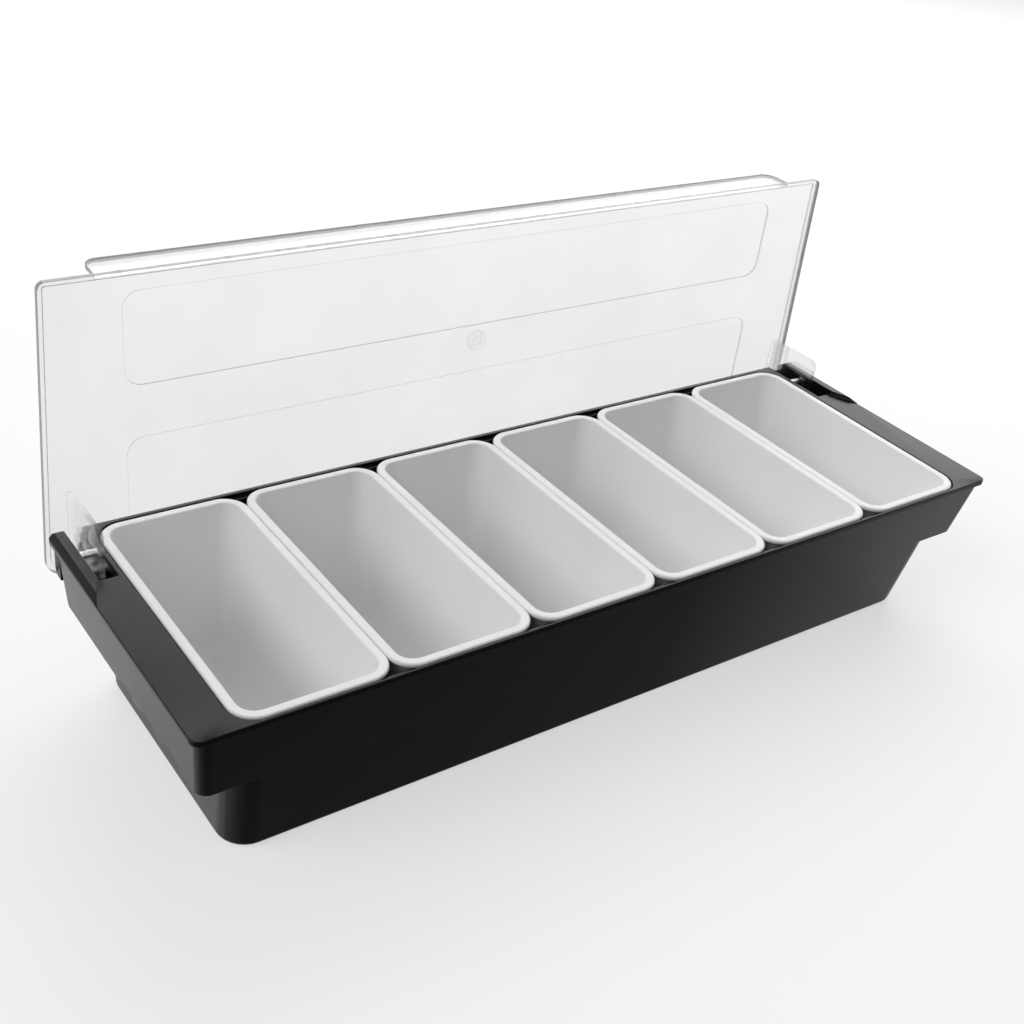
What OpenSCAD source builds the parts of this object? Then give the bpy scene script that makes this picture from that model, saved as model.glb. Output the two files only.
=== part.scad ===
// Countertop condiment caddy: a moulded tub with stepped ends, six lift-out
// inserts in a row and one long clear lid that swings on two short pins.
// +X runs along the row of inserts, +Y towards the hinge side, +Z up.
// The origin is the middle of the resting face.

/* [Inserts] */
// Distance from one insert to the next
insert_pitch = 76; // [66:1:86]
// Gap between two neighbouring insert rims
insert_gap = 0.4; // [0.3:0.1:1.5]
// Length of one insert over its rim, front to back
insert_length = 160; // [140:1:180]
// Clearance between the inserts and the floor of the tub
insert_floor_gap = 7.4; // [3:0.1:24]
// Width of the rim seen from above
rim_width = 4.6; // [4.2:0.2:7]
// Thickness of the rim
rim_thick = 2.5; // [2:0.1:4]
// Corner radius of the rim, seen from above
rim_corner_r = 13; // [9:0.5:18]
// Height of the round edge bead on the rim top
rim_bead = 0.8; // [0.4:0.1:1.2]
// Height of the rim above the deck around it
rim_proud = 0.4; // [0:0.1:1.2]
// Wall thickness of an insert
insert_wall = 2; // [1.6:0.1:2.6]
// Lean of the two long walls of an insert, in degrees
insert_side_draft = 4.5; // [3:0.1:7]
// Clearance between the foot of an insert and the leaning front wall of the tub
insert_foot_clear = 0.8; // [0.4:0.1:3]
// Radius between the floor and the walls inside an insert
insert_floor_r = 11; // [6:0.5:16]

/* [Tub] */
// Height of the tub from the table to its deck
tub_height = 90; // [86:0.5:110]
// Wall thickness of the tub
tub_wall = 3; // [2.4:0.1:3.4]
// Width of the flat deck beyond the last insert, at each end
end_deck = 21; // [20.5:0.1:28]
// Width of the deck strip left in front of the inserts
front_strip = 2.5; // [1.5:0.1:8]
// Width of the deck strip left behind the inserts
rear_strip = 3.6; // [3:0.1:7]
// Gap between the rims and the edge of the recess they sit in
recess_gap = 0.8; // [0.5:0.1:1]
// Thickness of the deck and of its overhanging edge
deck_thick = 3; // [2.4:0.1:3.4]
// Overhang of the deck beyond the end walls
end_overhang = 2.8; // [1.5:0.1:3.4]
// Overhang of the deck beyond the front and rear walls
side_overhang = 1.2; // [0.8:0.1:3]
// Corner radius of the deck
deck_corner_r = 5; // [3:0.5:10]
// Corner radius of the wide upper part
upper_corner_r = 6; // [4:0.5:9]
// Radius of the lower corners, seen from above
lower_corner_r = 15; // [8:0.5:18]
// Radius of the bottom edge
bottom_edge_r = 5; // [4:0.5:8]
// Lean of the front wall, in degrees
front_draft = 10.4; // [6:0.1:11]
// Lean of the rear wall, in degrees
rear_draft = 2.4; // [2:0.1:8]
// Lean of the lower end walls, in degrees
end_draft = 2.8; // [2:0.1:5]
// Lean of the upper end walls, in degrees
skirt_draft = 5.2; // [2:0.1:7]
// Height of the lower edge of the wide upper part above the table
step_height = 51.5; // [44:0.5:60]
// Inset of the lower body behind the front and rear of the wide upper part
step_inset = 0.4; // [0.3:0.1:1]
// Clearance of the inserts in the tub opening
seat_clear = 0.6; // [0.4:0.1:1]
// Number of arched notches in the lower edge of each end skirt
notch_count = 3; // [1:1:5]
// Distance between two notches
notch_pitch = 24.5; // [22:0.5:30]
// Width of a notch
notch_width = 19; // [10:0.5:20]
// Height of a notch
notch_height = 4; // [2:0.5:8]
// Offset of the row of notches towards the front
notch_shift = 21; // [10:0.5:26]

/* [Hinge] */
// Distance of the hinge axis in front of the rear edge of the deck
hinge_inset = 19.6; // [17.6:0.1:23.6]
// Depth of the hinge axis below the deck
hinge_drop = 2.8; // [2.6:0.1:3.4]
// Diameter of a hinge pin
pin_d = 4; // [3.4:0.1:4.2]
// Radial running clearance of the lid on its pins
pin_clear = 0.05; // [0.02:0.01:0.1]
// Radial clearance of a pin in the tub
pin_seat_clear = 0.01; // [0.01:0.01:0.03]
// Thickness of skirt left beyond the end of a pin
pin_cover = 1.8; // [1.5:0.1:2.4]
// Distance from the last insert rim to the slot
slot_inset = 3.4; // [3.2:0.1:5]
// Width of the slot in the deck
slot_width = 10; // [8.5:0.1:11]
// Front end of the slot, measured forward from the hinge axis
slot_reach = 26; // [26:0.5:30]
// Height of the low ridge beside the slot above the deck
ridge_rise = 2.4; // [1:0.1:4]
// Length of the ridge in front of the hinge axis, at the slot
ridge_front = 27; // [20:0.5:34]
// Further reach of the ridge along the deck edge
ridge_taper = 17; // [4:0.5:24]
// Distance of the ridge from the rear edge of the deck
ridge_rear = 2; // [1:0.1:4]
// Radius of the lugs that hold the pins under the deck
lug_r = 5.2; // [4.5:0.1:6.5]

/* [Lid] */
// Distance of the lower lid edge inside each end of the deck
lid_end_gap = 0.8; // [0.2:0.1:4]
// Narrowing of the lid towards its free edge, at each end
lid_taper = 4.5; // [0:0.5:6]
// Height of the open lid, from its lower edge to its free edge
lid_height = 152.5; // [130:0.5:158]
// Depth of the lower lid edge below the deck when open
lid_drop = 28; // [16:0.5:30]
// Thickness of the lid panel
lid_thick = 2.5; // [2:0.1:4]
// Distance from the hinge axis to the inner face of the panel
lid_offset = 24; // [22.5:0.1:28]
// Radius of the lower lid corners
lid_low_r = 9; // [4:0.5:14]
// Radius of the free lid corners
lid_free_r = 4; // [2:0.5:10]
// Width of the thicker border around the panel
lid_border = 3; // [2:0.5:6]
// Extra thickness of that border
lid_border_rise = 0.8; // [0.4:0.1:1.4]
// Depth of the finger rail behind the free edge
rail_depth = 17.5; // [8:0.5:20]
// Distance from each lid end to the finger rail
rail_inset = 31; // [20:1:60]
// Corner radius of the finger rail
rail_corner_r = 7; // [3:0.5:10]
// Thickness of a hinge ear
ear_thick = 3; // [2.4:0.1:3.6]
// Distance of the inner face of an ear from the slot's inner side
ear_inset = 2; // [1.5:0.1:2.5]
// Reach of an ear in front of the hinge axis
ear_front = 14.5; // [11:0.5:15]
// Reach of an ear above the hinge axis when open
ear_up = 20.5; // [14:0.5:20.5]
// Reach of an ear below the hinge axis when open
ear_down = 15; // [11:0.5:18]
// Corner radius of an ear
ear_corner_r = 4; // [2:0.5:6]
// Radius of the boss around the pin
ear_boss_r = 6.5; // [5.5:0.5:10]
// Height of that boss above the ear
ear_boss_rise = 2.2; // [1:0.1:2.4]
// Distance from each lid end to the two embossed fields
field_inset = 43; // [30:1:60]
// Height of the upper embossed field
field_upper_h = 48; // [30:1:56]
// Distance of the upper field from the free edge
field_upper_gap = 10.5; // [8:0.5:20]
// Distance between the two fields
field_between = 28; // [16:0.5:36]
// Height of the lower embossed field
field_lower_h = 54; // [30:1:60]
// Corner radius of the embossed fields
field_corner_r = 9; // [4:0.5:14]
// Rise of the embossed fields
field_rise = 0.6; // [0.4:0.1:1.2]
// Gap between the open lid and the stops on the tub
stop_gap = 0.3; // [0.3:0.1:1]

/* [Hidden] */
eps = 0.01;
$fn = 96;
hull_fn = 32;
bowl_fn = 28;
insert_count = 6;
row_half = insert_pitch * insert_count / 2;
rim_top = tub_height + rim_proud;
seat_z = rim_top - rim_thick;
rim_x = insert_pitch - insert_gap;
mouth_x = rim_x - 2 * rim_width;
mouth_y = insert_length - 2 * rim_width;
mouth_r = rim_corner_r - rim_width;
insert_low = tub_wall + insert_floor_gap;
body_depth = seat_z - insert_low;
recess_x = row_half - insert_gap / 2 + recess_gap;
recess_y = insert_length / 2 + recess_gap;
recess_r = rim_corner_r + recess_gap;
bowl_floor = insert_low + insert_wall;

// outline of the deck
deck_x = row_half - insert_gap / 2 + end_deck;
deck_front = -insert_length / 2 - front_strip;
deck_rear = insert_length / 2 + rear_strip;
deck_low = tub_height - deck_thick;

// outer walls at the deck and further down
wall_front = deck_front + side_overhang;
wall_rear = deck_rear - side_overhang;
skirt_x = deck_x - end_overhang;
upper_h = deck_low - step_height;
step_front = wall_front + upper_h * tan(front_draft);
step_rear = wall_rear - upper_h * tan(rear_draft);
skirt_low_x = skirt_x - upper_h * tan(skirt_draft);
foot_front = wall_front + deck_low * tan(front_draft);
foot_rear = wall_rear - deck_low * tan(rear_draft);

// opening that the inserts hang in
open_x = row_half - insert_pitch / 2 + mouth_x / 2 + insert_wall + seat_clear;
open_y = mouth_y / 2 + insert_wall + seat_clear;
open_r = mouth_r + insert_wall + seat_clear;
inner_wall_x = open_x + tub_wall;
foot_x = inner_wall_x - deck_low * tan(end_draft);
step_x = inner_wall_x - upper_h * tan(end_draft);
ledge = tub_wall / 3;
bowl_x = open_x - (seat_z - tub_wall) * tan(end_draft);
bowl_front = foot_front + tub_wall;
bowl_rear = foot_rear - tub_wall;
bowl_r = lower_corner_r - tub_wall;
bowl_edge_r = bottom_edge_r - tub_wall;

// hinge
axis_y = deck_rear - hinge_inset;
axis_z = tub_height - hinge_drop;
slot_in = row_half - insert_gap / 2 + slot_inset;
slot_out = slot_in + slot_width;
slot_front = axis_y - slot_reach;
pin_start = recess_x + insert_gap;
pin_end = skirt_x - pin_cover;
pin_length = pin_end - pin_start;
pin_bore_r = pin_d / 2 + pin_seat_clear;
lid_bore_r = pin_d / 2 + pin_clear;

// lid, standing open
lid_length = 2 * (deck_x - lid_end_gap);
lid_face = axis_y + lid_offset;
lid_back = lid_face + lid_thick;
lid_low = tub_height - lid_drop;
lid_top = lid_low + lid_height;
ear_in = slot_in + ear_inset;
ear_out = ear_in + ear_thick;
ear_rear = lid_face + eps;
ear_low = axis_z - ear_down;
ear_top = axis_z + ear_up;
field_x = lid_length - 2 * field_inset;
field_upper_z = lid_top - field_upper_gap - field_upper_h / 2;
field_lower_z = field_upper_z - field_upper_h / 2 - field_between - field_lower_h / 2;
rail_x = lid_length - 2 * rail_inset;
stop_rear = lid_face - stop_gap;
stop_high = deck_low - deck_thick;
stop_low = lid_low + lid_thick;

black = [0.06, 0.06, 0.065];
white = [0.94, 0.94, 0.93];
clear = [0.9, 0.92, 0.92, 0.35];
steel = [0.72, 0.73, 0.75];

// rectangle with round corners, centred
module round_rect(size_x, size_y, r) {
    square([size_x - 2 * r, size_y], center = true);
    square([size_x, size_y - 2 * r], center = true);
    for (sx = [-1, 1], sy = [-1, 1])
        translate([sx * (size_x / 2 - r), sy * (size_y / 2 - r)])
            circle(r = r);
}

// rectangle with round corners between two Y values
module span_rect(half_x, y0, y1, r) {
    translate([0, (y0 + y1) / 2])
        round_rect(2 * half_x, y1 - y0, r);
}

// leaning block: round-cornered outline at two heights
module leaning_block(low, high, r) {
    hull()
        for (face = [low, high], sx = [-1, 1], y = [face[1] + r, face[2] - r])
            translate([sx * (face[0] - r), y, face[3] - (face == high ? eps : 0)])
                cylinder(r = r, h = eps, $fn = hull_fn);
}

// round foot with a rounded lower edge
module foot(r, edge_r) {
    rotate_extrude($fn = bowl_fn)
        intersection() {
            square([r, edge_r]);
            union() {
                square([max(r - edge_r, r / 10), edge_r]);
                translate([r - edge_r, edge_r])
                    circle(r = edge_r, $fn = bowl_fn);
            }
        }
}

// leaning bowl: round-cornered mouth and a rounded edge around a flat floor
module leaning_bowl(low, high, low_r, edge_r, high_r) {
    hull() {
        for (sx = [-1, 1], y = [low[1] + low_r, low[2] - low_r])
            translate([sx * (low[0] - low_r), y, low[3]])
                foot(low_r, edge_r);
        for (sx = [-1, 1], y = [high[1] + high_r, high[2] - high_r])
            translate([sx * (high[0] - high_r), y, high[3] - eps])
                cylinder(r = high_r, h = eps, $fn = hull_fn);
    }
}

// plate in the plane of the lid: X along the row, Y up before it is turned
module lid_plate(thick) {
    rotate([90, 0, 0])
        linear_extrude(height = thick)
            children();
}

// outline of the lid, a little narrower at its free edge
module lid_outline(inset) {
    low_r = max(lid_low_r - inset, eps);
    high_r = max(lid_free_r - inset, eps);
    half_low = lid_length / 2 - inset;
    half_high = half_low - lid_taper;
    z0 = lid_low + inset;
    z1 = lid_top - inset;
    hull()
        for (sx = [-1, 1]) {
            translate([sx * (half_low - low_r), z0 + low_r])
                circle(r = low_r);
            translate([sx * (half_high - high_r), z1 - high_r])
                circle(r = high_r);
        }
}

// hollow under one end deck, between the inner wall and the skirt
module wing_hollow() {
    intersection() {
        translate([0, deck_rear, 0])
            rotate([90, 0, 0])
                linear_extrude(height = deck_rear - deck_front)
                    polygon([
                        [step_x + ledge, step_height - 1],
                        [skirt_low_x - tub_wall, step_height - 1],
                        [skirt_x - tub_wall, deck_low],
                        [inner_wall_x + ledge, deck_low]
                    ]);
        rotate([90, 0, 90])
            linear_extrude(height = deck_x)
                polygon([
                    [step_front + tub_wall, step_height - 1],
                    [step_rear - tub_wall, step_height - 1],
                    [wall_rear - tub_wall, deck_low],
                    [wall_front + tub_wall, deck_low]
                ]);
    }
}

// side view of the ridge: flat top and a round rear end
module ridge_side() {
    rear = deck_rear - ridge_rear;
    translate([slot_front - ridge_taper, 0])
        square([rear - ridge_rise - slot_front + ridge_taper, deck_thick + ridge_rise]);
    translate([rear - ridge_rise, 0])
        square([ridge_rise, deck_thick]);
    intersection() {
        translate([rear - ridge_rise, deck_thick])
            circle(r = ridge_rise);
        translate([rear - ridge_rise - eps, 0])
            square([ridge_rise + eps, deck_thick + ridge_rise]);
    }
}

// low ridge beside the slot: it falls to the deck edge and tapers towards the front
module ridge() {
    third = (deck_x - slot_out) / 3;
    front = axis_y - ridge_front;
    rear = deck_rear - ridge_rear;
    intersection() {
        translate([slot_out, 0, deck_low])
            rotate([90, 0, 90])
                linear_extrude(height = deck_x - slot_out)
                    ridge_side();
        translate([0, deck_rear, deck_low])
            rotate([90, 0, 0])
                linear_extrude(height = deck_rear)
                    polygon([
                        [slot_out, 0],
                        [slot_out, deck_thick + ridge_rise],
                        [slot_out + third * 2, deck_thick + ridge_rise],
                        [deck_x, deck_thick],
                        [deck_x, 0]
                    ]);
        translate([0, 0, deck_low])
            linear_extrude(height = deck_thick + ridge_rise)
                polygon([
                    [slot_out, front],
                    [deck_x, front - ridge_taper],
                    [deck_x, rear - deck_corner_r / 2],
                    [deck_x - deck_corner_r / 2, rear],
                    [slot_out, rear]
                ]);
    }
}

// lug for a pin: round below, closed above by the deck
module lug(x0, x1) {
    intersection() {
        translate([x0, axis_y, axis_z])
            rotate([0, 90, 0])
                cylinder(r = lug_r, h = x1 - x0);
        translate([x0, axis_y - lug_r, axis_z - lug_r])
            cube([x1 - x0, 2 * lug_r, deck_low + eps - axis_z + lug_r]);
    }
}

// everything that repeats at both ends of the tub, drawn for +X
module end_solids() {
    ridge();
    lug(inner_wall_x - ledge, slot_in);
    lug(slot_out, skirt_x - ledge);
    for (x = [slot_in - tub_wall, slot_out])
        translate([x, 0, 0])
            rotate([90, 0, 90])
                linear_extrude(height = tub_wall)
                    polygon([
                        [step_rear - tub_wall / 2, stop_low],
                        [stop_rear - tub_wall, stop_low],
                        [stop_rear, stop_low + tub_wall],
                        [stop_rear, stop_high],
                        [wall_rear - tub_wall / 2, deck_low]
                    ]);
}

module end_cuts() {
    translate([slot_in, slot_front, deck_low - eps])
        cube([slot_width, deck_rear, tub_height]);
    translate([slot_in, wall_rear - 2 * tub_wall, stop_low])
        cube([slot_width, deck_rear, tub_height]);
    translate([open_x - tub_wall, axis_y, axis_z])
        rotate([0, 90, 0])
            cylinder(r = pin_bore_r, h = pin_end + pin_seat_clear - open_x + tub_wall);
    notch_r = (pow(notch_width / 2, 2) + pow(notch_height, 2)) / (2 * notch_height);
    for (i = [0 : notch_count - 1])
        translate([
            step_x + tub_wall,
            -notch_shift + (i - (notch_count - 1) / 2) * notch_pitch,
            step_height + notch_height - notch_r
        ])
            rotate([0, 90, 0])
                cylinder(r = notch_r, h = deck_x - step_x);
}

module both_ends() {
    children();
    mirror([1, 0, 0])
        children();
}

// wide upper part with its hollow wings
module upper_part() {
    difference() {
        leaning_block(
            [skirt_low_x, step_front, step_rear, step_height],
            [skirt_x, wall_front, wall_rear, deck_low + eps],
            upper_corner_r
        );
        both_ends()
            wing_hollow();
    }
}

module tub() {
    color(black)
        difference() {
            union() {
                upper_part();
                leaning_bowl(
                    [foot_x, foot_front, foot_rear, 0],
                    [step_x, step_front + step_inset, step_rear - step_inset, step_height + tub_wall],
                    lower_corner_r,
                    bottom_edge_r,
                    lower_corner_r
                );
                translate([0, 0, deck_low])
                    linear_extrude(height = deck_thick)
                        span_rect(deck_x, deck_front, deck_rear, deck_corner_r);
                both_ends()
                    end_solids();
            }
            leaning_bowl(
                [bowl_x, bowl_front, bowl_rear, tub_wall],
                [open_x, -open_y, open_y, seat_z + eps],
                bowl_r,
                bowl_edge_r,
                open_r
            );
            translate([0, 0, seat_z])
                linear_extrude(height = tub_height)
                    round_rect(2 * recess_x, 2 * recess_y, recess_r);
            both_ends()
                end_cuts();
        }
}

// one insert: a tapered white tub hanging by its rim
module insert(slot) {
    outer_x = mouth_x / 2 + insert_wall;
    outer_y = mouth_y / 2 + insert_wall;
    side_in = body_depth * tan(insert_side_draft);
    low_x = outer_x - side_in;
    low_y = -bowl_front - insert_foot_clear;
    translate([slot * insert_pitch - row_half - insert_pitch / 2, 0, 0])
        color(white)
            difference() {
                union() {
                    translate([0, 0, seat_z])
                        linear_extrude(height = rim_thick - rim_bead)
                            round_rect(rim_x, insert_length, rim_corner_r);
                    translate([0, 0, rim_top - rim_bead - eps])
                        linear_extrude(height = rim_bead + eps)
                            round_rect(
                                rim_x - rim_bead, insert_length - rim_bead,
                                rim_corner_r - rim_bead / 2
                            );
                    leaning_bowl(
                        [low_x, -low_y, low_y, insert_low],
                        [outer_x, -outer_y, outer_y, seat_z + eps],
                        insert_floor_r + insert_wall,
                        insert_floor_r + insert_wall,
                        mouth_r + insert_wall
                    );
                }
                leaning_bowl(
                    [low_x - insert_wall, insert_wall - low_y, low_y - insert_wall, bowl_floor],
                    [mouth_x / 2, -mouth_y / 2, mouth_y / 2, rim_top + eps],
                    insert_floor_r,
                    insert_floor_r,
                    mouth_r
                );
            }
}

module insert_1() { insert(1); }
module insert_2() { insert(2); }
module insert_3() { insert(3); }
module insert_4() { insert(4); }
module insert_5() { insert(5); }
module insert_6() { insert(6); }

// hinge ear: upright plate across the end of the lid, with a boss for the pin
module ear() {
    mid_y = (axis_y - ear_front + ear_rear) / 2;
    mid_z = (ear_low + ear_top) / 2;
    difference() {
        union() {
            translate([ear_in, mid_y, mid_z])
                rotate([90, 0, 90])
                    linear_extrude(height = ear_thick)
                        round_rect(ear_rear - axis_y + ear_front, ear_top - ear_low, ear_corner_r);
            translate([ear_in, lid_face - ear_corner_r, ear_low])
                cube([ear_thick, ear_corner_r + eps, ear_top - ear_low]);
            translate([ear_in, axis_y, axis_z])
                rotate([0, 90, 0])
                    cylinder(r = ear_boss_r, h = ear_thick + ear_boss_rise);
        }
        translate([ear_in - eps, axis_y, axis_z])
            rotate([0, 90, 0])
                cylinder(r = lid_bore_r, h = ear_thick + ear_boss_rise + 2 * eps);
    }
}

module lid() {
    color(clear) {
        translate([0, lid_back, 0])
            lid_plate(lid_thick)
                lid_outline(0);
        translate([0, lid_back + lid_border_rise, 0])
            lid_plate(lid_border_rise + eps)
                difference() {
                    lid_outline(0);
                    lid_outline(lid_border);
                }
        for (field = [[field_upper_z, field_upper_h], [field_lower_z, field_lower_h]])
            translate([0, lid_back + field_rise, field[0]])
                lid_plate(field_rise + eps)
                    round_rect(field_x, field[1], field_corner_r);
        translate([0, 0, lid_top - lid_thick])
            linear_extrude(height = lid_thick)
                difference() {
                    translate([0, lid_back + (rail_depth - rail_corner_r) / 2 - eps])
                        round_rect(rail_x, rail_depth + rail_corner_r, rail_corner_r);
                    translate([-rail_x, lid_face - 2 * rail_corner_r])
                        square([2 * rail_x, 2 * rail_corner_r + lid_thick / 2]);
                }
        both_ends()
            ear();
    }
}

// plain steel pin, held in the lugs on both sides of the slot
module hinge_pin() {
    chamfer = pin_d / 10;
    color(steel)
        translate([pin_start, axis_y, axis_z])
            rotate([0, 90, 0])
                rotate_extrude()
                    polygon([
                        [0, 0],
                        [pin_d / 2 - chamfer, 0],
                        [pin_d / 2, chamfer],
                        [pin_d / 2, pin_length - chamfer],
                        [pin_d / 2 - chamfer, pin_length],
                        [0, pin_length]
                    ]);
}

module hinge_pin_right() { hinge_pin(); }
module hinge_pin_left() { mirror([1, 0, 0]) hinge_pin(); }

tub();
insert_1();
insert_2();
insert_3();
insert_4();
insert_5();
insert_6();
lid();
hinge_pin_left();
hinge_pin_right();
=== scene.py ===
import math

import bmesh
import bpy
from mathutils import Matrix, Vector


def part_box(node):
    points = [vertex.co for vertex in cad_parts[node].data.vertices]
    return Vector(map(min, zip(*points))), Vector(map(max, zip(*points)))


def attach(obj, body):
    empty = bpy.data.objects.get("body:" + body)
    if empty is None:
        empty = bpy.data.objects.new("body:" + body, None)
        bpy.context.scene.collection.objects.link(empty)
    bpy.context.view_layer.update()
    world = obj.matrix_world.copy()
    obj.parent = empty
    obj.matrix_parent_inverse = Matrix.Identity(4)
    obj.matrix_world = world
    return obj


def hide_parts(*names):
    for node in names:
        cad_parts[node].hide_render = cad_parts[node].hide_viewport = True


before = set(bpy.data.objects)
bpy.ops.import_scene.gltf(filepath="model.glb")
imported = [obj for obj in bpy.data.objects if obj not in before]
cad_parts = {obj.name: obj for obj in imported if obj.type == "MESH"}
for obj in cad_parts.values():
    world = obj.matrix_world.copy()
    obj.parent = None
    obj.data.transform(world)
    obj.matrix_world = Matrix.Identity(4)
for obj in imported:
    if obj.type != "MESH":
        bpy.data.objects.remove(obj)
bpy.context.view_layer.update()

# Camera: its direction from the object in degrees, its distance and the point it looks at in metres
AZIMUTH = -39.249
ELEVATION = 31.473
ROLL = 7.788
DISTANCE = 0.71251
TARGET = Vector((-0.032064, 0.006638, 0.090))
# Focal length and width of the picture in pixels, and width of the film in millimetres
FOCAL_PX = 1370.14
FRAME_PX = 1024.0
SENSOR = 36.0
CLIP_START = 0.01
CLIP_END = 50.0


def make_camera():
    azimuth, elevation, roll = (math.radians(angle) for angle in (AZIMUTH, ELEVATION, ROLL))
    back = Vector((
        math.sin(azimuth) * math.cos(elevation),
        -math.cos(azimuth) * math.cos(elevation),
        math.sin(elevation),
    ))
    right = (-back).cross(Vector((0, 0, 1))).normalized()
    up = right.cross(-back)
    right, up = (
        math.cos(roll) * right + math.sin(roll) * up,
        -math.sin(roll) * right + math.cos(roll) * up,
    )
    data = bpy.data.cameras.new("camera")
    data.sensor_width = SENSOR
    data.lens = SENSOR * FOCAL_PX / FRAME_PX
    data.clip_start = CLIP_START
    data.clip_end = CLIP_END
    camera = bpy.data.objects.new("camera", data)
    turned = Matrix((right, up, back)).transposed().to_4x4()
    camera.matrix_world = Matrix.Translation(TARGET + back * DISTANCE) @ turned
    bpy.context.scene.collection.objects.link(camera)
    bpy.context.scene.camera = camera


make_camera()


# Materials
# Roughness of every noise, and the part of its range that is spread over a material's own range
NOISE_ROUGH = 0.55
NOISE_LOW = 0.3
NOISE_HIGH = 0.7
# IOR of the tub's front wall, lowered there as painted shade that darkens its reflection, and of the
# rest of the black plastic
FRONT_SHADE_IOR = 1.09
GLOSS_IOR = 1.24
# Where along the row the painted shade on the front wall starts to fade, and where it is gone
FRONT_SHADE_FADE_FROM_X = 0.02
FRONT_SHADE_FADE_TO_X = 0.22
# The Y of a normal that belongs to the front wall, and the one that belongs to another face
FRONT_NORMAL_Y = -0.9
OTHER_NORMAL_Y = -0.4
# Middle and radius of the round gate mark on the lid, drawn as rings of painted shade and highlight
GATE_MARK = (-0.0066, 0.088, 0.1475)
GATE_MARK_RADIUS = 0.0065


def new_material(name):
    material = bpy.data.materials.new(name)
    material.use_nodes = True
    nodes = material.node_tree.nodes
    links = material.node_tree.links
    nodes.clear()
    out = nodes.new("ShaderNodeOutputMaterial")
    shader = nodes.new("ShaderNodeBsdfPrincipled")
    links.new(shader.outputs["BSDF"], out.inputs["Surface"])
    coords = nodes.new("ShaderNodeTexCoord")
    return material, nodes, links, shader, coords.outputs["Object"]


def noise(nodes, links, vector, scale, detail):
    texture = nodes.new("ShaderNodeTexNoise")
    texture.inputs["Scale"].default_value = scale
    texture.inputs["Detail"].default_value = detail
    texture.inputs["Roughness"].default_value = NOISE_ROUGH
    links.new(vector, texture.inputs["Vector"])
    return texture.outputs["Fac"]


def ramp(nodes, links, factor, stops):
    node = nodes.new("ShaderNodeValToRGB")
    elements = node.color_ramp.elements
    while len(elements) < len(stops):
        elements.new(0.5)
    for element, (place, colour) in zip(elements, stops):
        element.position = place
        element.color = (*colour, 1.0)
    links.new(factor, node.inputs["Fac"])
    return node.outputs["Color"]


def spread(nodes, links, factor, low, high):
    node = nodes.new("ShaderNodeMapRange")
    node.inputs["From Min"].default_value = NOISE_LOW
    node.inputs["From Max"].default_value = NOISE_HIGH
    node.inputs["To Min"].default_value = low
    node.inputs["To Max"].default_value = high
    links.new(factor, node.inputs["Value"])
    return node.outputs["Result"]


def bump(nodes, links, height, strength, distance, normal=None):
    node = nodes.new("ShaderNodeBump")
    node.inputs["Strength"].default_value = strength
    node.inputs["Distance"].default_value = distance
    links.new(height, node.inputs["Height"])
    if normal is not None:
        links.new(normal, node.inputs["Normal"])
    return node.outputs["Normal"]


def front_wall_painted_shade(nodes, links, coords):
    """The plastic's IOR: lowered on the front wall as painted shade that darkens its reflection, less
    so towards its right end.
    """
    facing = nodes.new("ShaderNodeSeparateXYZ")
    links.new(nodes.new("ShaderNodeTexCoord").outputs["Normal"], facing.inputs["Vector"])
    place = nodes.new("ShaderNodeSeparateXYZ")
    links.new(coords, place.inputs["Vector"])
    along = nodes.new("ShaderNodeMapRange")
    along.inputs["From Min"].default_value = FRONT_SHADE_FADE_FROM_X
    along.inputs["From Max"].default_value = FRONT_SHADE_FADE_TO_X
    along.inputs["To Min"].default_value = FRONT_SHADE_IOR
    along.inputs["To Max"].default_value = GLOSS_IOR
    links.new(place.outputs["X"], along.inputs["Value"])
    across = nodes.new("ShaderNodeMapRange")
    across.inputs["From Min"].default_value = FRONT_NORMAL_Y
    across.inputs["From Max"].default_value = OTHER_NORMAL_Y
    across.inputs["To Max"].default_value = GLOSS_IOR
    links.new(facing.outputs["Y"], across.inputs["Value"])
    links.new(along.outputs["Result"], across.inputs["To Min"])
    return across.outputs["Result"]


def black_plastic():
    material, nodes, links, shader, coords = new_material("black_moulded_plastic")
    cloud = noise(nodes, links, coords, scale=9.0, detail=3.0)
    grain = noise(nodes, links, coords, scale=900.0, detail=3.0)
    tone = ramp(nodes, links, cloud, [(0.3, (0.0028, 0.0028, 0.003)), (0.7, (0.0042, 0.0042, 0.0046))])
    links.new(tone, shader.inputs["Base Color"])
    links.new(spread(nodes, links, cloud, low=0.18, high=0.26), shader.inputs["Roughness"])
    wave = noise(nodes, links, coords, scale=22.0, detail=2.0)
    soft = bump(nodes, links, wave, strength=0.16, distance=0.0014)
    rough = bump(nodes, links, grain, strength=0.16, distance=0.00012, normal=soft)
    links.new(rough, shader.inputs["Normal"])
    shader.inputs["Specular IOR Level"].default_value = 0.5
    # painted shade: the front wall's lower IOR gives it a darker reflection, most at its left end
    links.new(front_wall_painted_shade(nodes, links, coords), shader.inputs["IOR"])
    return material


def white_plastic():
    material, nodes, links, shader, coords = new_material("white_moulded_plastic")
    cloud = noise(nodes, links, coords, scale=14.0, detail=3.0)
    tone = ramp(nodes, links, cloud, [(0.3, (0.83, 0.83, 0.825)), (0.7, (0.86, 0.86, 0.855))])
    links.new(tone, shader.inputs["Base Color"])
    links.new(spread(nodes, links, cloud, low=0.38, high=0.46), shader.inputs["Roughness"])
    wave = noise(nodes, links, coords, scale=60.0, detail=2.0)
    links.new(bump(nodes, links, wave, strength=0.06, distance=0.0006), shader.inputs["Normal"])
    shader.inputs["IOR"].default_value = 1.5
    shader.inputs["Specular IOR Level"].default_value = 0.3
    shader.inputs["Subsurface Weight"].default_value = 0.08
    shader.inputs["Subsurface Radius"].default_value = (0.003, 0.003, 0.003)
    return material


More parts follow.
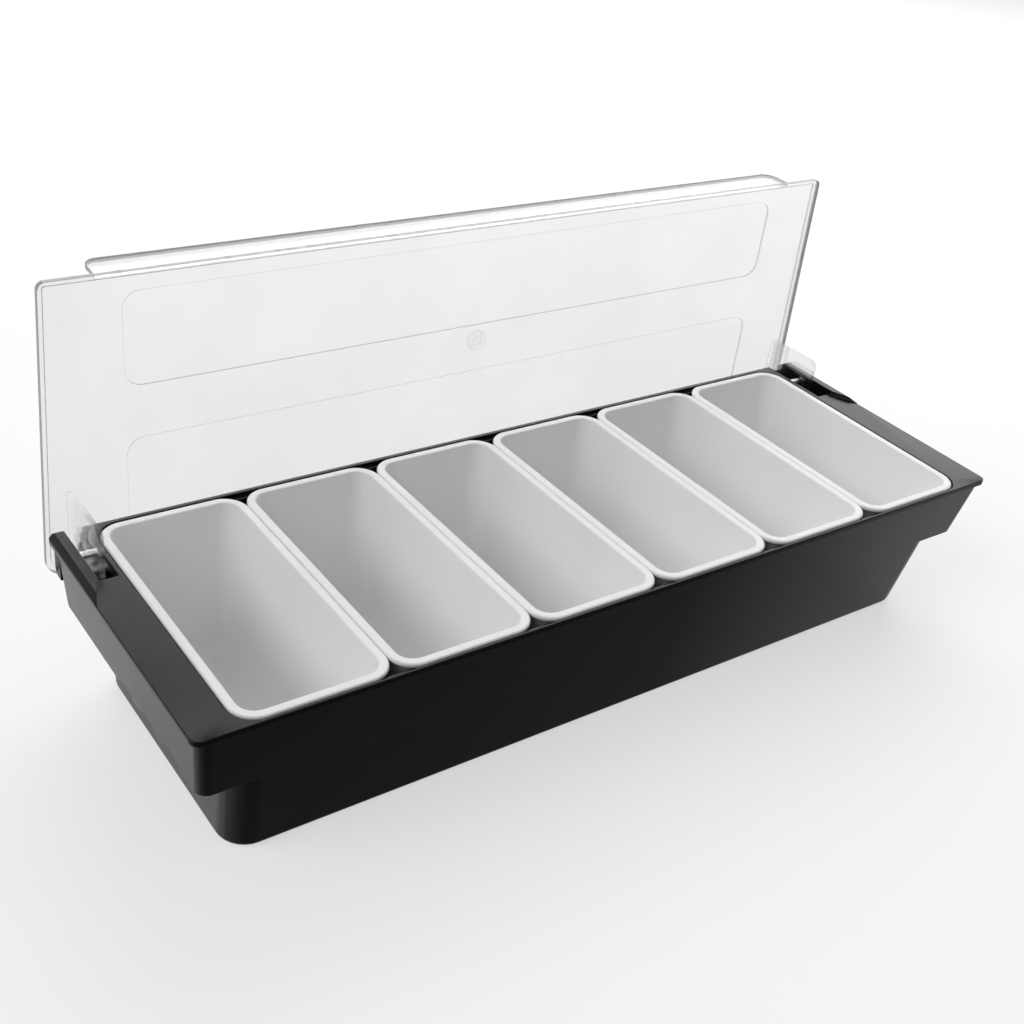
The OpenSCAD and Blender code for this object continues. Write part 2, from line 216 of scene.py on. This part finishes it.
def gate_mark(nodes, links, coords, place, size):
    """1 in the middle of a small round mark, falling to 0 at its edge."""
    move = nodes.new("ShaderNodeMapping")
    move.inputs["Location"].default_value = tuple(-value / size for value in place)
    move.inputs["Scale"].default_value = (1 / size, 1 / size, 1 / size)
    links.new(coords, move.inputs["Vector"])
    ball = nodes.new("ShaderNodeTexGradient")
    ball.gradient_type = "SPHERICAL"
    links.new(move.outputs["Vector"], ball.inputs["Vector"])
    return ball.outputs["Fac"]


def clear_plastic():
    material, nodes, links, shader, coords = new_material("clear_moulded_plastic")
    haze = noise(nodes, links, coords, scale=16.0, detail=4.0)
    tint = ramp(nodes, links, haze, [(0.35, (0.56, 0.56, 0.553)), (0.7, (0.66, 0.66, 0.652))])
    mark = gate_mark(nodes, links, coords, GATE_MARK, GATE_MARK_RADIUS)
    # painted shade and highlight: light and dark rings stand in for the relief of the gate mark's
    # dimple
    gate_mark_shade_rings = [(0.0, 1.0), (0.12, 0.62), (0.4, 0.94), (0.62, 0.7), (0.8, 0.95)]
    gate_mark_shade_tone = ramp(nodes, links, mark, [(place, (grey, grey, grey)) for place, grey in gate_mark_shade_rings])
    both = nodes.new("ShaderNodeMixRGB")
    both.blend_type = "MULTIPLY"
    both.inputs["Fac"].default_value = 1.0
    links.new(tint, both.inputs["Color1"])
    links.new(gate_mark_shade_tone, both.inputs["Color2"])
    links.new(both.outputs["Color"], shader.inputs["Base Color"])
    links.new(spread(nodes, links, haze, low=0.10, high=0.18), shader.inputs["Roughness"])
    wave = noise(nodes, links, coords, scale=18.0, detail=2.0)
    links.new(bump(nodes, links, wave, strength=0.05, distance=0.0006), shader.inputs["Normal"])
    shader.inputs["IOR"].default_value = 1.18
    shader.inputs["Transmission Weight"].default_value = 1.0
    shader.inputs["Alpha"].default_value = 0.4
    return material


def clear_edge_shade():
    """The narrow sides of the clear plastic, painted greyer than its faces as painted shade."""
    material, nodes, links, shader, coords = new_material("clear_plastic_edge_painted_shade")
    streak = noise(nodes, links, coords, scale=180.0, detail=3.0)
    # painted shade: the narrow sides get a dark, less see-through copy of the clear plastic
    tone = ramp(nodes, links, streak, [(0.3, (0.13, 0.134, 0.134)), (0.7, (0.22, 0.224, 0.224))])
    links.new(tone, shader.inputs["Base Color"])
    links.new(spread(nodes, links, streak, low=0.24, high=0.36), shader.inputs["Roughness"])
    links.new(bump(nodes, links, streak, strength=0.08, distance=0.0001), shader.inputs["Normal"])
    shader.inputs["IOR"].default_value = 1.49
    shader.inputs["Alpha"].default_value = 0.85
    return material


def pin_steel():
    """Steel brushed round the pin."""
    material, nodes, links, shader, coords = new_material("bright_steel")
    stretch = nodes.new("ShaderNodeMapping")
    stretch.inputs["Scale"].default_value = (1.0, 14.0, 14.0)
    links.new(coords, stretch.inputs["Vector"])
    brushed = noise(nodes, links, stretch.outputs["Vector"], scale=400.0, detail=3.0)
    tone = ramp(nodes, links, brushed, [(0.3, (0.62, 0.63, 0.65)), (0.7, (0.76, 0.77, 0.78))])
    links.new(tone, shader.inputs["Base Color"])
    links.new(spread(nodes, links, brushed, low=0.16, high=0.26), shader.inputs["Roughness"])
    links.new(bump(nodes, links, brushed, strength=0.10, distance=0.00005), shader.inputs["Normal"])
    shader.inputs["Metallic"].default_value = 1.0
    return material


BLACK = black_plastic()
WHITE = white_plastic()
CLEAR = clear_plastic()
CLEAR_EDGE_SHADE = clear_edge_shade()
STEEL = pin_steel()


# Pieces
# Two points closer than this are one, and two faces within this angle are one flat face
WELD = 2e-6
FLAT_ANGLE = math.radians(0.02)
# An edge is rounded where its faces turn by more than this
SHARP_ANGLE = math.radians(32.0)
# Width of the rounded edges of the tub and of the lid, and the steps across each
TUB_EDGE = 0.0005
TUB_EDGE_STEPS = 3
LID_EDGE = 0.0002
LID_EDGE_STEPS = 2
# A face with this many corners or more is cut into triangles
MANY_CORNERS = 5
# How much the large faces count where the shading of an edge is levelled
EDGE_LEVEL = 80
INSERT_LEVEL = 60


def finished(piece, material, body, slot, *nodes):
    piece.data.materials.clear()
    piece.data.materials.append(material)
    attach(piece, body)
    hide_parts(*nodes)
    return piece


def baked(piece):
    """The piece with its modifiers made part of its mesh."""
    graph = bpy.context.evaluated_depsgraph_get()
    made = bpy.data.meshes.new_from_object(
        piece.evaluated_get(graph), preserve_all_data_layers=True, depsgraph=graph
    )
    piece.modifiers.clear()
    piece.data = made


def dressed(node, body, slot, material, edge, steps):
    """A piece with the node's own shape and softly rounded edges, kept inside the node's box."""
    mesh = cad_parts[node].data.copy()
    shape = bmesh.new()
    shape.from_mesh(mesh)
    bmesh.ops.remove_doubles(shape, verts=shape.verts, dist=WELD)
    bmesh.ops.dissolve_limit(shape, angle_limit=FLAT_ANGLE, verts=shape.verts, edges=shape.edges)
    bmesh.ops.recalc_face_normals(shape, faces=shape.faces)
    for face in shape.faces:
        face.smooth = True
    shape.to_mesh(mesh)
    shape.free()
    piece = bpy.data.objects.new(node + "_moulded", mesh)
    bpy.context.scene.collection.objects.link(piece)
    soften = piece.modifiers.new("edges", "BEVEL")
    soften.width = edge
    soften.segments = steps
    soften.limit_method = "ANGLE"
    soften.angle_limit = SHARP_ANGLE
    soften.use_clamp_overlap = False
    corners = piece.modifiers.new("corners", "TRIANGULATE")
    corners.min_vertices = MANY_CORNERS
    level = piece.modifiers.new("level", "WEIGHTED_NORMAL")
    level.mode = "FACE_AREA_WITH_ANGLE"
    level.weight = EDGE_LEVEL
    level.keep_sharp = True
    baked(piece)
    low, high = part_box(node)
    for vertex in piece.data.vertices:
        vertex.co = [min(max(value, floor), roof) for value, floor, roof in zip(vertex.co, low, high)]
    return finished(piece, material, body, slot, node)


# Lid: Y of its face, its thickness, the rise of its border behind that, and the margin of these planes
LID_FACE = 0.088
LID_THICK = 0.0025
LID_BORDER_RISE = 0.0008
PLANE_MARGIN = 0.0002
# A face of the lid belongs to its narrow sides where the cosine of its tilt is less than this
NARROW_COSINE = 0.6


def lid_piece():
    """The lid, its narrow sides given painted shade: a greyer copy of its clear plastic."""
    piece = dressed("lid", "lid_body", "clear_plastic", CLEAR, LID_EDGE, LID_EDGE_STEPS)
    piece.data.materials.append(CLEAR_EDGE_SHADE)
    for polygon in piece.data.polygons:
        centre = polygon.center
        normal = polygon.normal
        if centre.y < LID_FACE - PLANE_MARGIN:
            along = 1.0
        elif centre.y > LID_FACE + LID_THICK + LID_BORDER_RISE + PLANE_MARGIN:
            along = abs(normal.z)
        else:
            along = abs(normal.y)
        polygon.material_index = 1 if along < NARROW_COSINE else 0
    return piece


# Insert: corner, width and thickness of its rim, its wall, and the radii of its floor and its mouth
RIM_CORNER = 0.013
RIM_WIDTH = 0.0046
RIM_THICK = 0.0025
WALL = 0.002
FLOOR_RADIUS = 0.011
MOUTH_RADIUS = RIM_CORNER - RIM_WIDTH
# Half length and half depth of its outside where its walls meet its floor
FOOT_X = 0.0291
FOOT_Y = 0.0615
# Roundings of the rim: its lower edge, its bead, and its edge round the mouth
LOWER_EDGE = 0.0007
BEAD = 0.0011
MOUTH_EDGE = 0.0009
# The lower edge has one more ring at this share of its radius
LOWER_SHARE = 0.3
# The inner wall starts this many mouth edges below the rim top
INNER_START = 1.2
# Steps in a quarter of a ring, in the floor edge, up a wall, over the bead and round the mouth
RING_STEPS = 10
FLOOR_STEPS = 7
WALL_STEPS = 4
BEAD_STEPS = 5
MOUTH_STEPS = 4
# The least radius, and the least straight stretch of a ring
LEAST = 1e-5


def ring(half_x, half_y, radius, z):
    """Points of a round-cornered rectangle, the same number whatever its size."""
    radius = min(radius, half_x - LEAST, half_y - LEAST)
    points = []
    for quarter, (side_x, side_y) in enumerate(((1, 1), (-1, 1), (-1, -1), (1, -1))):
        for step in range(RING_STEPS + 1):
            turn = math.radians(90 * (quarter + step / RING_STEPS))
            points.append((
                side_x * (half_x - radius) + radius * math.cos(turn),
                side_y * (half_y - radius) + radius * math.sin(turn),
                z,
            ))
    return points


def lofted(name, rings, shift):
    """A closed skin through rings of equal length, capped at both ends."""
    shape = bmesh.new()
    rows = [
        [shape.verts.new((x + shift[0], y + shift[1], z + shift[2])) for x, y, z in row]
        for row in rings
    ]
    count = len(rows[0])
    for low, high in zip(rows, rows[1:]):
        for index in range(count):
            after = (index + 1) % count
            shape.faces.new((low[index], low[after], high[after], high[index]))
    shape.faces.new(list(reversed(rows[0])))
    shape.faces.new(rows[-1])
    bmesh.ops.recalc_face_normals(shape, faces=shape.faces)
    for face in shape.faces:
        face.smooth = True
    mesh = bpy.data.meshes.new(name)
    shape.to_mesh(mesh)
    shape.free()
    piece = bpy.data.objects.new(name, mesh)
    bpy.context.scene.collection.objects.link(piece)
    return piece


def bowl_rings(foot, mouth, foot_radius, mouth_radius, low, high):
    """Rings up a bowl: its rounded floor edge, then its wall. foot and mouth hold half sizes."""
    rings = []
    for step in range(FLOOR_STEPS + 1):
        turn = math.radians(90 * step / FLOOR_STEPS)
        pull = foot_radius * (1 - math.sin(turn))
        rise = foot_radius * (1 - math.cos(turn))
        rings.append(ring(foot[0] - pull, foot[1] - pull, max(foot_radius - pull, LEAST), low + rise))
    for step in range(1, WALL_STEPS + 1):
        part = step / WALL_STEPS
        rings.append(ring(
            foot[0] + (mouth[0] - foot[0]) * part,
            foot[1] + (mouth[1] - foot[1]) * part,
            foot_radius + (mouth_radius - foot_radius) * part,
            low + foot_radius + (high - low - foot_radius) * part,
        ))
    return rings


def rim_rings(rim, mouth, top):
    """Rings over the rim, from its lower edge over its bead to the mouth."""
    under = top - RIM_THICK

    def outside(pull, z):
        return ring(rim[0] - pull, rim[1] - pull, RIM_CORNER - pull, z)

    rings = [
        outside(LOWER_EDGE, under),
        outside(LOWER_EDGE * LOWER_SHARE, under + LOWER_EDGE * LOWER_SHARE),
        outside(0, under + LOWER_EDGE),
    ]
    for step in range(BEAD_STEPS + 1):
        turn = math.radians(90 * step / BEAD_STEPS)
        rings.append(outside(BEAD * (1 - math.cos(turn)), top - BEAD + BEAD * math.sin(turn)))
    for step in range(MOUTH_STEPS + 1):
        turn = math.radians(90 * step / MOUTH_STEPS)
        grow = MOUTH_EDGE * (1 - math.sin(turn))
        drop = MOUTH_EDGE * (1 - math.cos(turn))
        rings.append(ring(mouth[0] + grow, mouth[1] + grow, MOUTH_RADIUS + grow, top - drop))
    return rings


def insert_piece(number):
    """An insert as one closed skin: outer wall, rim and inner wall."""
    node = f"insert_{number}"
    low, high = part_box(node)
    centre = (low + high) / 2
    top = high.z
    rim = ((high.x - low.x) / 2, (high.y - low.y) / 2)
    mouth = (rim[0] - RIM_WIDTH, rim[1] - RIM_WIDTH)
    outer = bowl_rings(
        (FOOT_X, FOOT_Y), (mouth[0] + WALL, mouth[1] + WALL),
        FLOOR_RADIUS + WALL, MOUTH_RADIUS + WALL, low.z, top - RIM_THICK,
    )
    inner = bowl_rings(
        (FOOT_X - WALL, FOOT_Y - WALL), mouth,
        FLOOR_RADIUS, MOUTH_RADIUS, low.z + WALL, top - MOUTH_EDGE * INNER_START,
    )
    rings = outer + rim_rings(rim, mouth, top) + inner[::-1]
    piece = lofted(node + "_moulded", rings, (centre.x, centre.y, 0))
    level = piece.modifiers.new("level", "WEIGHTED_NORMAL")
    level.weight = INSERT_LEVEL
    baked(piece)
    return finished(piece, WHITE, f"insert_body_{number}", "white_plastic", node)


dressed("tub", "base", "black_plastic", BLACK, TUB_EDGE, TUB_EDGE_STEPS)
for number in range(1, 7):
    insert_piece(number)
lid_piece()
for side in ("left", "right"):
    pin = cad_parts[f"hinge_pin_{side}"]
    pin.data.materials.clear()
    pin.data.materials.append(STEEL)


# Stage
# Colour of the floor, the light it adds to what looks at it, and its half size
FLOOR_COLOUR = 0.42
FLOOR_LIFT = 0.58
FLOOR_REACH = 6.0
# Strength of the world as a lamp, where 1 is what looks at it
SKY_FILL = 0.36


def seen_directly(nodes, links):
    """1 for rays from the camera, from a reflection or through the clear lid."""
    path = nodes.new("ShaderNodeLightPath")
    both = nodes.new("ShaderNodeMath")
    both.operation = "MAXIMUM"
    links.new(path.outputs["Is Camera Ray"], both.inputs[0])
    links.new(path.outputs["Is Glossy Ray"], both.inputs[1])
    every = nodes.new("ShaderNodeMath")
    every.operation = "MAXIMUM"
    links.new(both.outputs[0], every.inputs[0])
    links.new(path.outputs["Is Transmission Ray"], every.inputs[1])
    return every.outputs[0]


def pale_floor():
    material = bpy.data.materials.new("pale_floor")
    material.use_nodes = True
    nodes = material.node_tree.nodes
    links = material.node_tree.links
    nodes.clear()
    out = nodes.new("ShaderNodeOutputMaterial")
    diffuse = nodes.new("ShaderNodeBsdfDiffuse")
    diffuse.inputs["Color"].default_value = (FLOOR_COLOUR, FLOOR_COLOUR, FLOOR_COLOUR, 1.0)
    lift = nodes.new("ShaderNodeEmission")
    lift.inputs["Color"].default_value = (FLOOR_LIFT, FLOOR_LIFT, FLOOR_LIFT, 1.0)
    links.new(seen_directly(nodes, links), lift.inputs["Strength"])
    total = nodes.new("ShaderNodeAddShader")
    links.new(diffuse.outputs["BSDF"], total.inputs[0])
    links.new(lift.outputs["Emission"], total.inputs[1])
    links.new(total.outputs["Shader"], out.inputs["Surface"])
    return material


def plain_backdrop():
    material = pale_floor()
    reach = FLOOR_REACH
    corners = [(-reach, -reach, 0), (reach, -reach, 0), (reach, reach, 0), (-reach, reach, 0)]
    mesh = bpy.data.meshes.new("floor")
    mesh.from_pydata(corners, [], [(0, 1, 2, 3)])
    mesh.materials.append(material)
    floor = bpy.data.objects.new("floor", mesh)
    bpy.context.scene.collection.objects.link(floor)


def aimed(lamp, place, aim):
    place = Vector(place)
    lamp.rotation_mode = "QUATERNION"
    lamp.rotation_quaternion = (Vector(aim) - place).to_track_quat("-Z", "Y")
    lamp.location = place
    bpy.context.scene.collection.objects.link(lamp)


def area_light(name, place, aim, width, height, radiance):
    data = bpy.data.lights.new(name, "AREA")
    data.shape = "RECTANGLE"
    data.size = width
    data.size_y = height
    data.energy = radiance * math.pi * width * height
    aimed(bpy.data.objects.new(name, data), place, aim)


def sun_light(name, place, strength, spread_angle):
    data = bpy.data.lights.new(name, "SUN")
    data.energy = strength
    data.angle = math.radians(spread_angle)
    aimed(bpy.data.objects.new(name, data), place, (0, 0, 0))


def studio_world():
    world = bpy.data.worlds.new("studio")
    bpy.context.scene.world = world
    world.use_nodes = True
    nodes = world.node_tree.nodes
    links = world.node_tree.links
    nodes.clear()
    out = nodes.new("ShaderNodeOutputWorld")
    shade = nodes.new("ShaderNodeBackground")
    shade.inputs["Color"].default_value = (1, 1, 1, 1)
    level = nodes.new("ShaderNodeMapRange")
    level.inputs["To Min"].default_value = SKY_FILL
    level.inputs["To Max"].default_value = 1.0
    links.new(seen_directly(nodes, links), level.inputs["Value"])
    links.new(level.outputs["Result"], shade.inputs["Strength"])
    links.new(shade.outputs["Background"], out.inputs["Surface"])


plain_backdrop()
area_light("rear_softbox", (0.98, 1.34, 1.28), (0, 0, 0.09), width=2.5, height=1.7, radiance=2.4)
sun_light("key", (-1.45, 0.1, 1.2), strength=1.0, spread_angle=35.0)
studio_world()

bpy.context.scene.view_settings.view_transform = "Standard"
